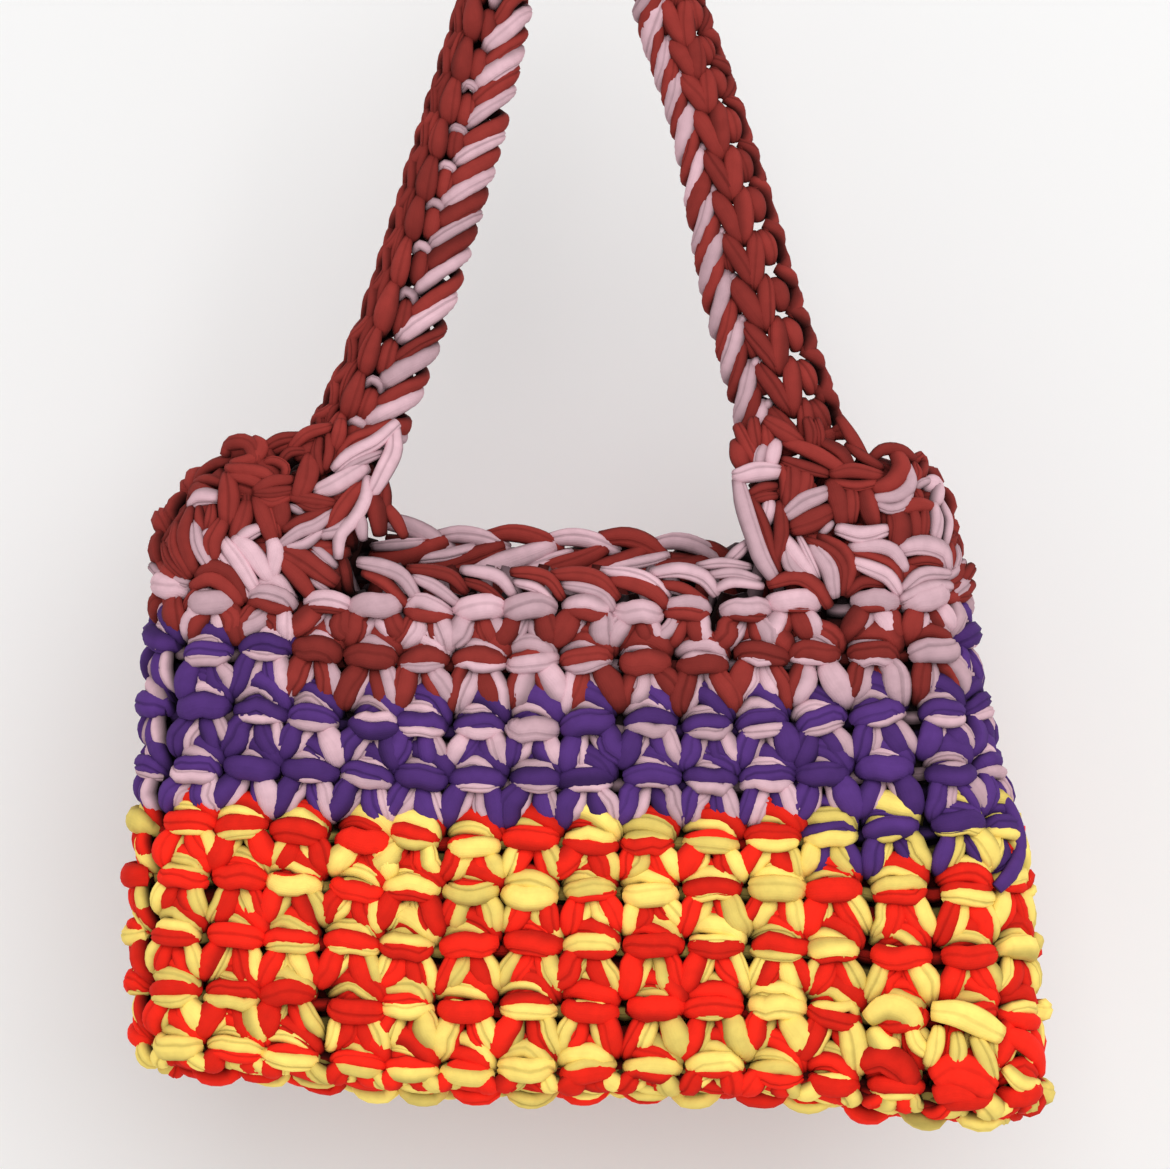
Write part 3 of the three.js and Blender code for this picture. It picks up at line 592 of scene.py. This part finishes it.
BACK_RIM = [
    (MAUVE, 8.5, 1, 372, 520, 400, 524, 428, 535, 454, 552),
    (MAUVE, 8, 1, 438, 536, 460, 534, 484, 539, 508, 549),
    (RUST, 8, 1, 488, 536, 512, 533, 538, 538, 562, 548),
    (MAUVE, 8, 1, 547, 540, 570, 537, 594, 541, 618, 552),
    (RUST, 9, 1.4, 600, 538, 626, 537, 648, 545, 668, 562),
    (MAUVE, 8, 1, 652, 545, 676, 541, 700, 547, 724, 562), (RUST, 7, 0, 690, 545, 712, 549, 736, 562),
    (RUST, 8, -2, 386, 540, 420, 545, 460, 552, 500, 556),
    (RUST, 8, -2, 490, 554, 530, 556, 580, 558, 620, 560),
    (RUST, 8, -2, 610, 560, 650, 560, 690, 562, 726, 564),
    (RUST, 9, 3, 371, 558, 392, 558, 418, 552, 446, 541), (MAUVE, 5.5, 4.6, 373, 547, 396, 545, 424, 542),
    (RUST, 8, 3, 414, 570, 440, 566, 472, 556, 503, 545), (MAUVE, 5.5, 4.6, 420, 560, 446, 555, 474, 547),
    (MAUVE, 9, 3, 468, 570, 496, 564, 526, 555, 554, 545), (MAUVE, 8, 2, 520, 570, 544, 564, 572, 554),
    (RUST, 8, 3.2, 534, 570, 560, 565, 586, 558, 606, 548),
    (RUST, 9, 3, 580, 573, 602, 569, 626, 561, 648, 549),
    (MAUVE, 5.5, 4.6, 598, 571, 624, 566, 650, 560, 668, 555),
    (RUST, 9, 3, 630, 574, 656, 570, 682, 567, 708, 561), (RUST, 8, 3, 678, 575, 704, 573, 732, 564),
]
LOW_CORNER = [
    (PURPLE, 8, 5, 996, 790, 1010, 812, 1018, 842, 1012, 868, 996, 888),
    (YELLOW, 11, 5, 868, 1018, 884, 1006, 904, 1010, 916, 1026),
    (YELLOW, 10, 4, 872, 1030, 882, 1044, 896, 1046), (YELLOW, 8, 3.5, 910, 1026, 916, 1042, 930, 1054),
    (YELLOW, 12, 5.5, 932, 1010, 956, 1012, 980, 1022, 1000, 1034),
    (YELLOW, 8, 5, 938, 1028, 934, 1044, 928, 1062), (YELLOW, 8, 5, 956, 1034, 957, 1050, 953, 1068),
    (YELLOW, 8.5, 5, 974, 1036, 984, 1056, 992, 1078),
    (RED, 15, 5, 934, 1078, 952, 1068, 974, 1076, 990, 1090), (RED, 12, 4, 936, 1094, 956, 1088, 978, 1096),
    (RED, 13, 4.5, 862, 1064, 880, 1056, 900, 1066, 912, 1082),
    (RED, 10, 3.5, 1004, 1034, 1022, 1040, 1036, 1054, 1040, 1072),
    (YELLOW, 8, 4, 1006, 1068, 1020, 1082, 1036, 1084),
]
for strand in LEFT_SHOULDER + RIGHT_SHOULDER + RIM + LOW_CORNER:
    by_hand(*strand)
for strand in BACK_RIM:
    by_hand(*strand, depth=BACK_RIM_DEPTH)
print("strands laid by hand:", *map(len, (LEFT_SHOULDER, RIGHT_SHOULDER, RIM, LOW_CORNER, BACK_RIM)))

# %% [markdown]
# The strap is a long narrow strip of the same stitches, seen edge on: leaf-shaped links,
# round beads between them, and the two yarns wrapped round its inner edge. It starts at the
# left shoulder, runs over the hanging point, where it rolls onto its back, and comes down to
# the right shoulder.

# %% The strap's line
STRAP_LEFT = [(-77.5, -166), (-71.6, -152), (-66.8, -140), (-57.8, -116), (-48.3, -85), (-39.4, -55)]
STRAP_RIGHT = [(42.6, -55), (50.4, -85), (57.8, -116), (65, -140), (68.8, -152), (73, -166)]
LEFT_WIDTHS = [(-166, 34), (-140, 31.5), (-116, 31), (-85, 31), (-55, 30.5), (-14.6, 27), (8, 24)]
RIGHT_WIDTHS = [(-166, 38), (-150, 36.5), (-133, 35), (-116, 34), (-100, 33), (-83, 30.5), (-65, 28),
                (-48, 26.5), (-14.6, 26), (8, 24)]
APEX_RADIUS, APEX_Z = 29.2, -20.7
STRAP_HALF, STRAP_SQUARE = 6.4, 0.72  # half its thickness, and how square its edges are
STRAND_REACH = 2.4  # how far the strands stand out past the strap's edges
ROLL_START, ROLL_END = -26, 7.3  # the heights between which the strap rolls onto its back

angles = np.radians(np.linspace(165, 15, 13))
turn = list(zip(APEX_RADIUS * np.cos(angles), APEX_Z + APEX_RADIUS * np.sin(angles)))
knots = np.array(STRAP_LEFT + turn + STRAP_RIGHT)
knots_run = run_along(knots)
STRAP_LINE = smooth_line(knots_run, knots, np.linspace(0, knots_run[-1], 900))
STRAP_RUN = run_along(STRAP_LINE)
APEX_RUN = STRAP_RUN[np.argmax(STRAP_LINE[:, 1])]


def middle_at(run):
    """X and Z of the strap's middle line, run millimetres along it."""
    return np.array([np.interp(run, STRAP_RUN, STRAP_LINE[:, k]) for k in (0, 1)])


def strap(run, across, out):
    """Points and outward directions on the strap: across is -1 at its outer edge and 1 at its
    inner one, and goes on round the edges to 2 behind."""
    x, z = middle_at(run)
    step_x, step_z = middle_at(run + 2) - middle_at(run - 2)
    tangent = unit(np.stack([step_x, 0 * x, step_z], -1))
    roll = math.pi / 2 * step_between(z, ROLL_START, ROLL_END)[:, None]
    flat = np.array([0.0, -1.0, 0.0])
    front = np.cos(roll) * flat - np.sin(roll) * np.cross(tangent, flat)
    inner = np.cross(tangent, front)
    left_width, right_width = (np.interp(z, *zip(*widths)) for widths in (LEFT_WIDTHS, RIGHT_WIDTHS))
    half = (np.where(run < APEX_RUN, left_width, right_width) / 2 - STRAND_REACH)[:, None]
    far = np.abs(across) > 1
    near = np.where(far, 2 - np.abs(across), np.abs(across)) * np.sign(across)
    side = np.where(far, -1, 1)
    cos = np.abs(near) ** (1 / STRAP_SQUARE)
    sin = np.sqrt(np.clip(1 - cos**2, 0, 1))
    level = (side * sin**STRAP_SQUARE)[:, None] * STRAP_HALF
    facing = unit((np.sign(near) * cos ** (2 - STRAP_SQUARE))[:, None] / half * inner
                  + (side * sin ** (2 - STRAP_SQUARE))[:, None] / STRAP_HALF * front)
    middle = np.stack([x, 0 * x, z], -1)
    return middle + near[:, None] * half * inner + level * front + out[:, None] * facing, facing


print("strap length:", round(STRAP_RUN[-1]), "apex at:", round(APEX_RUN))

# %% [markdown]
# A link is written like a stitch: yarn, half width, half thickness, and places along the
# link, across the strap, out of it, and how fat the strand is there. The left side shows
# leaf-shaped links and the right one a chain of two leaves. Where each link starts is a
# height in the picture, because the links aren't quite even.

# %% Links of the strap
LINK = 14


def later(places, by=0.5):
    """The same places further along the link."""
    return [(along + by, *rest) for along, *rest in places]


BACK_IN = [(0, 1.25, -0.6, 0.8), (0.3, 1.5, 0, 1), (0.6, 1.8, 0.2, 1), (0.8, 1.98, -1.8, 0.8)]
BACK_OUT = [(0, -1.2, -0.6, 0.8), (0.3, -1.5, 0, 1), (0.6, -1.8, 0.2, 1), (0.8, -1.98, -1.8, 0.8)]
LINK_BEHIND = {"back_in": (RUST, 2.6, 2.2, BACK_IN), "back_in_2": (MAUVE, 2.4, 2.2, later(BACK_IN))}
LINK_LEFT = {
    "edge_low": (RUST, 2.1, 1.9, [
        (-0.2, -1.08, -1.2, 0.8), (0.3, -1.02, 0.2, 1), (0.8, -0.9, 0, 1), (1.3, -0.8, -1.6, 0.8)]),
    "edge_high": (RUST, 2, 1.9, [
        (0, -0.82, -1.2, 0.8), (0.4, -0.88, 0, 1), (0.9, -1, 0, 1), (1.3, -1.12, -1.2, 0.8)]),
    "by_leaf": (RUST, 1.7, 1.8, [
        (0.1, -0.64, -2, 0.6), (0.5, -0.73, -0.6, 1), (1, -0.76, -0.8, 1), (1.4, -0.68, -2.4, 0.6)]),
    "leaf": (RUST, 3.2, 2.6, [
        (-0.1, -0.4, -3.4, 0.5), (0.14, -0.42, 0.2, 1.05), (0.42, -0.45, 1.4, 1.15),
        (0.8, -0.49, 0.6, 0.8), (1.14, -0.53, -3, 0.4)]),
    "bead": (RUST, 3.2, 2.8, [
        (0.1, 0, -4.4, 0.7), (0.26, 0, -0.9, 1.05), (0.56, -0.03, -0.9, 1.05),
        (0.76, -0.04, -4.4, 0.7)]),
    "bead_cap": (MAUVE, 1.8, 1.7, [
        (0.74, -0.28, -2.4, 0.6), (0.94, -0.16, -0.4, 1), (0.92, 0.03, -0.4, 1), (0.74, 0.16, -2.2, 0.7)]),
    "wrap_mauve": (MAUVE, 2.9, 2.2, [
        (-0.12, 0.1, -2.4, 0.7), (0.12, 0.24, 0.2, 1.05), (0.5, 0.58, 0.8, 1), (0.9, 0.94, 0.3, 1),
        (1.1, 1.2, -0.4, 0.9), (1.25, 1.6, -1.2, 0.8)]),
    "wrap_rust": (RUST, 3, 2.2, [
        (0.34, 0.14, -2.4, 0.7), (0.6, 0.32, 0, 1.05), (1, 0.66, 0.4, 1), (1.35, 0.98, 0.1, 1),
        (1.55, 1.2, -0.5, 0.9), (1.7, 1.6, -1.2, 0.8)]),
    **LINK_BEHIND,
    "back_out": (RUST, 2.8, 2.2, BACK_OUT),
    "back_out_2": (RUST, 2.6, 2.2, later(BACK_OUT)),
}
LINK_RIGHT = {
    "wrap_mauve": (MAUVE, 2.9, 2.2, [
        (-0.1, 0.44, -2.2, 0.7), (0.2, 0.54, 0.2, 1), (0.6, 0.74, 0.5, 1), (1, 0.96, 0.2, 1),
        (1.25, 1.15, -0.4, 0.9), (1.4, 1.6, -1.2, 0.8)]),
    "wrap_rust": (RUST, 2.8, 2.2, [
        (0.4, 0.46, -2.4, 0.7), (0.7, 0.56, 0, 1), (1.1, 0.76, 0.3, 1), (1.5, 0.98, 0, 1),
        (1.7, 1.2, -0.6, 0.9), (1.85, 1.6, -1.2, 0.8)]),
    "small_bead": (RUST, 2.2, 2.2, [
        (0.1, 0.34, -3.2, 0.7), (0.35, 0.33, -1.6, 1), (0.6, 0.33, -1.6, 1), (0.82, 0.34, -3.2, 0.7)]),
    "small_cap": (MAUVE, 1.7, 1.7, [
        (-0.08, 0.26, -2.8, 0.7), (-0.02, 0.34, -1, 1), (0.04, 0.44, -2, 0.8)]),
    "leaf_in": (RUST, 3.1, 2.5, [
        (0, 0.32, -2.4, 0.5), (0.25, 0.25, 0, 0.95), (0.7, 0.08, 0.9, 1.1), (1.1, -0.04, 0.5, 0.9),
        (1.38, -0.09, -2.2, 0.4)]),
    "leaf_out": (RUST, 3.1, 2.5, [
        (0.12, -0.42, -2.4, 0.5), (0.36, -0.38, 0.2, 1), (0.8, -0.27, 0.9, 1.1), (1.15, -0.18, 0.5, 0.9),
        (1.42, -0.12, -2.2, 0.4)]),
    "bead": (RUST, 3.3, 2.8, [
        (0.22, -0.62, -3, 0.65), (0.45, -0.64, -0.9, 1.05), (0.7, -0.66, -0.9, 1),
        (0.94, -0.68, -3, 0.65)]),
    "scallop": (RUST, 2.8, 2.4, [
        (0, -0.8, -2.2, 0.7), (0.2, -0.96, -0.2, 1), (0.55, -1.06, 0.3, 1.05), (0.95, -0.98, -0.2, 1),
        (1.2, -0.78, -2.2, 0.7)]),
    **LINK_BEHIND,
    "back_out": (RUST, 2.7, 2.2, [
        (0.3, -1.15, -0.6, 0.8), (0.5, -1.45, 0, 1), (0.75, -1.75, 0.2, 1), (0.95, -1.98, -1.8, 0.8)]),
}
LINKS_UP = (466, 422, 380, 336, 288, 243, 203, 162, 127, 85, 44, 4)
LINKS_DOWN = (-2, 38, 71, 105, 147, 188, 231, 275, 317, 359, 402, 446)
NO_CAP = 0.35  # how often a bead has no mauve cap
BEND = 12  # millimetres that one radian round the strap's edge counts for


def runs_at(pixels, low, high):
    """How far along the strap each link starts, from its height in the picture."""
    part = (STRAP_RUN >= low) & (STRAP_RUN <= high)
    run, height = STRAP_RUN[part], STRAP_LINE[part, 1]
    order = np.argsort(height)
    return np.interp([-(pixel + TOP_UNDER_Z0) * PIXEL for pixel in pixels], height[order], run[order])


up, down = runs_at(LINKS_UP, 0, APEX_RUN), runs_at(LINKS_DOWN, APEX_RUN, STRAP_RUN[-1])
turn_up = np.arange(up[-1] + LINK, APEX_RUN - 0.6 * LINK, LINK)
turn_down = np.arange(down[0] - LINK, APEX_RUN, -LINK)[::-1]


def strap_links(starts, pattern):
    """Lays one link of the pattern between each start and the next."""
    for k in range(len(starts) - 1):
        size = starts[k + 1] - starts[k]
        mauve_share = rng.uniform(-0.25, 0.25)
        for name, (yarn, width, thick, places) in pattern.items():
            if name == "bead_cap" and rng.random() < NO_CAP:
                continue
            places = np.array(places)
            places[:, 0] += rng.normal(0, 0.04)
            places[1:-1, 1] += rng.normal(0, 0.012)
            far = np.abs(places[:, 1])
            bend = np.arccos(np.clip(np.where(far > 1, 2 - far, far), 0, 1) ** (1 / STRAP_SQUARE))
            bend = np.where(far > 1, -bend, bend)
            bend = np.where(places[:, 1] < 0, math.pi - bend, bend)
            knots = np.column_stack([starts[k] + places[:, 0] * size, bend * BEND, places[:, 2:]])
            line = curve_through(knots, FINE_STRAND["rings"])
            bend = line[:, 1] / BEND
            near = np.abs(np.cos(bend)) ** STRAP_SQUARE
            across = np.where(np.sin(bend) < 0, 2 - near, near) * np.sign(np.cos(bend))
            run = np.clip(line[:, 0], 0, STRAP_RUN[-1])
            points, outward = strap(run, across, line[:, 2])
            more = 1 + (mauve_share if yarn == MAUVE else -mauve_share) * name.startswith("wrap")
            half = width * more * rng.normal(1, 0.05)
            lay(yarn, points, outward, half * line[:, 3], thick * line[:, 3], level=line[:, 2],
                twist=rng.normal(0, 0.2))


body_strands, strands = strands, {}
strap_links(np.concatenate([up, turn_up, [APEX_RUN]]), LINK_LEFT)
strap_links(np.concatenate([[APEX_RUN], turn_down, down, [STRAP_RUN[-1] + 4]]), LINK_RIGHT)
strap_strands, strands = strands, body_strands
print("strap strands:", sum(len(items) for items in strap_strands.values()))

# %% [markdown]
# Jersey yarn is matt cotton: a plain colour that is a little lighter and darker from strand
# to strand, and fine knit ribs that only show close up. Shade is painted into the colour too:
# a thin dark line along each strand's crease, darker sides on each strand, and darker strands
# the deeper they lie in the cloth.

# %% Yarn materials
YARN_COLOURS = {
    "red": (0.86, 0.020, 0.008),
    "yellow": (0.95, 0.72, 0.175),
    "purple": (0.084, 0.030, 0.178),
    "mauve": (0.645, 0.415, 0.465),
    "rust": (0.262, 0.030, 0.024),
}
TINTS = (0.80, 1.14)  # the darkest and the lightest strand
# painted shade: a dark line in the crease, darker deep in the cloth, and darker strand sides away from the
# crease on top
CREASE, PAINTED_CREASE_SHADE = (0.004, 0.034), 0.24  # turns from the crease, and how dark it is
LEVELS, PAINTED_DEPTH_SHADES = (2.2, 12.0), (0.07, 1.07)  # millimetres from the cloth's middle
FLANKS, PAINTED_FLANK_SHADES = (0.12, 0.30), (1.03, 0.60)  # turns from the crease
PATCHES, PATCH_SHADES = (0.3, 0.7), (0.94, 1.05)
WANDER = 0.05  # turns that the crease strays to a side
RIBS = 26  # round a strand


def yarn_material(name, colour):
    """Matt jersey: lighter and darker strands, fine ribs along, and painted shade: a dark line in the crease,
    darker strand sides, darker deep in the cloth.
    """
    material = bpy.data.materials.new(name)
    material.use_nodes = True
    nodes, links = material.node_tree.nodes, material.node_tree.links
    shader = nodes["Principled BSDF"]
    shader.inputs["Roughness"].default_value = 0.9
    shader.inputs["Specular IOR Level"].default_value = 0.18

    def node(kind, inputs=(), **settings):
        made = nodes.new(kind)
        for key, value in settings.items():
            setattr(made, key, value)
        for key, value in dict(inputs).items():
            if isinstance(value, (int, float, tuple)):
                made.inputs[key].default_value = value
            else:
                links.new(value, made.inputs[key])
        return made.outputs

    def maths(operation, first, second=0):
        return node("ShaderNodeMath", {0: first, 1: second}, operation=operation)[0]

    def times(first, second):
        return maths("MULTIPLY", first, second)

    def ranged(value, span, to):
        ends = {"From Min": span[0], "From Max": span[1], "To Min": to[0], "To Max": to[1]}
        return node("ShaderNodeMapRange", {"Value": value, **ends}, interpolation_type="SMOOTHSTEP")["Result"]

    def attribute(label):
        return node("ShaderNodeAttribute", attribute_name=label)["Fac"]

    def noise(scale):
        return node("ShaderNodeTexNoise", {"Scale": scale, "Vector": place})["Fac"]

    place = node("ShaderNodeTexCoord")["Object"]
    strand = node("ShaderNodeSeparateXYZ", {0: node("ShaderNodeUVMap", uv_map="strand")["UV"]})
    around = strand["Y"]
    turned = maths("ADD", around, times(maths("SUBTRACT", noise(90), 0.5), WANDER))
    from_crease = maths("MINIMUM", maths("ABSOLUTE", turned), maths("ABSOLUTE", maths("SUBTRACT", turned, 1)))
    line = times(ranged(from_crease, CREASE, (1, 0)), attribute("crease"))
    value = ranged(attribute("tint"), (0, 1), TINTS)
    # painted shade: the crease line, the depth in the cloth and the strand's sides darken the colour; the
    # noise patches are random tone
    for shade in (maths("SUBTRACT", 1.0, times(line, PAINTED_CREASE_SHADE)),
                  ranged(attribute("level"), LEVELS, PAINTED_DEPTH_SHADES),
                  ranged(from_crease, FLANKS, PAINTED_FLANK_SHADES),
                  ranged(noise(240), PATCHES, PATCH_SHADES)):
        value = times(value, shade)
    shaded = node("ShaderNodeHueSaturation", {"Color": (*colour, 1), "Value": value})["Color"]
    links.new(shaded, shader.inputs["Base Color"])
    ribs = times(maths("SINE", times(around, 2 * math.pi * RIBS)), 0.10)
    height = maths("ADD", ribs, times(noise(1800), 0.5))
    height = maths("SUBTRACT", height, times(line, 1.3))
    bump = node("ShaderNodeBump", {"Strength": 0.5, "Distance": 0.0003, "Height": height})
    links.new(bump["Normal"], shader.inputs["Normal"])
    return material


materials = {name: yarn_material(f"yarn_{name}", colour) for name, colour in YARN_COLOURS.items()}
print("materials:", *materials)

# %% [markdown]
# Each yarn makes one piece of the fine strands at the front, one of the rest of the bag's
# strands and, on the strap, one of its own.

# %% One piece for each yarn
KINDS = {kind["rings"]: kind for kind in (FINE_STRAND, SIDE_STRAND, PLAIN_STRAND)}
MOST_IN_A_PIECE, MOST_IN_ALL = 200000, 1000000
triangles = {}


def placed(name, data):
    """A new object in the scene."""
    made = bpy.data.objects.new(name, data)
    bpy.context.scene.collection.objects.link(made)
    return made


def strand_piece(name, yarn, groups, node):
    """One piece of some groups of strands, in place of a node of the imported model."""
    mesh = strand_mesh(name, groups)
    mesh.materials.append(materials[yarn])
    piece = placed(name, mesh)
    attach(piece, "root")
    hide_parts(node)
    mesh.calc_loop_triangles()
    triangles[name] = len(mesh.loop_triangles)


for yarn in YARN_COLOURS:
    groups = [(KINDS[rings], items) for (of, rings), items in strands.items() if of == yarn]
    for place, fine in (("front", True), ("rest", False)):
        some = [group for group in groups if (group[0] is FINE_STRAND) == fine]
        strand_piece(f"bag_{yarn}_{place}", yarn, some, "bag_body")
for (yarn, rings), items in strap_strands.items():
    strand_piece(f"strap_{yarn}", yarn, [(KINDS[rings], items)], "strap")
print(triangles, "in all:", sum(triangles.values()))
assert max(triangles.values()) < MOST_IN_A_PIECE and sum(triangles.values()) < MOST_IN_ALL

# %% [markdown]
# The bag hangs in front of a white wall in soft daylight from a wide window behind the
# camera. The wall is there only for the front: seen from behind it lets the bag show. The
# camera stands straight in front, where pixels and millimetres were matched.

# %% Stage, lights and camera
bpy.context.scene.view_settings.view_transform = "Standard"
world = bpy.data.worlds.new("studio")
bpy.context.scene.world = world
world.use_nodes = True
sky = world.node_tree.nodes["Background"]
sky.inputs["Color"].default_value = (1.0, 1.0, 1.0, 1)
sky.inputs["Strength"].default_value = 0.67

BAG_MIDDLE = Vector((0, 0, -0.2))
WALL_BEHIND = Vector((0, 0.14, 0))
wall_mesh = bmesh.new()
bmesh.ops.create_grid(wall_mesh, x_segments=1, y_segments=1, size=1.5)
bmesh.ops.rotate(wall_mesh, verts=wall_mesh.verts, matrix=Matrix.Rotation(math.pi / 2, 3, "X"))
bmesh.ops.translate(wall_mesh, verts=wall_mesh.verts, vec=BAG_MIDDLE + WALL_BEHIND)
wall_data = bpy.data.meshes.new("wall")
wall_mesh.to_mesh(wall_data)
wall_mesh.free()
wall_finish = bpy.data.materials.new("white_wall")
wall_finish.use_nodes = True
nodes, links = wall_finish.node_tree.nodes, wall_finish.node_tree.links
paint = nodes["Principled BSDF"]
paint.inputs["Base Color"].default_value = (0.95, 0.95, 0.945, 1)
paint.inputs["Roughness"].default_value = 0.9
paint.inputs["Specular IOR Level"].default_value = 0.1
one_sided = nodes.new("ShaderNodeMixShader")
links.new(nodes.new("ShaderNodeNewGeometry").outputs["Backfacing"], one_sided.inputs["Fac"])
links.new(paint.outputs["BSDF"], one_sided.inputs[1])
links.new(nodes.new("ShaderNodeBsdfTransparent").outputs["BSDF"], one_sided.inputs[2])
links.new(one_sided.outputs["Shader"], nodes["Material Output"].inputs["Surface"])
wall_data.materials.append(wall_finish)
wall = placed("wall", wall_data)

window_data = bpy.data.lights.new("window", "AREA")
window_data.energy, window_data.size = 50, 2.8
window = placed("window", window_data)
window.location = (0.55, -2.9, 1.0)
window.rotation_euler = (BAG_MIDDLE - window.location).to_track_quat("-Z", "Y").to_euler()

camera_data = bpy.data.cameras.new("camera")
camera_data.sensor_fit = "HORIZONTAL"
camera_data.angle = 2 * math.atan(CENTRE[0] * PIXEL / CAMERA_AWAY)
camera_data.clip_start, camera_data.clip_end = 0.05, 50
camera = placed("camera", camera_data)
camera.location = EYE * MM
camera.rotation_euler = (math.pi / 2, 0, 0)
bpy.context.scene.camera = camera
print("window at", window.location[:], "camera at", camera.location[:])
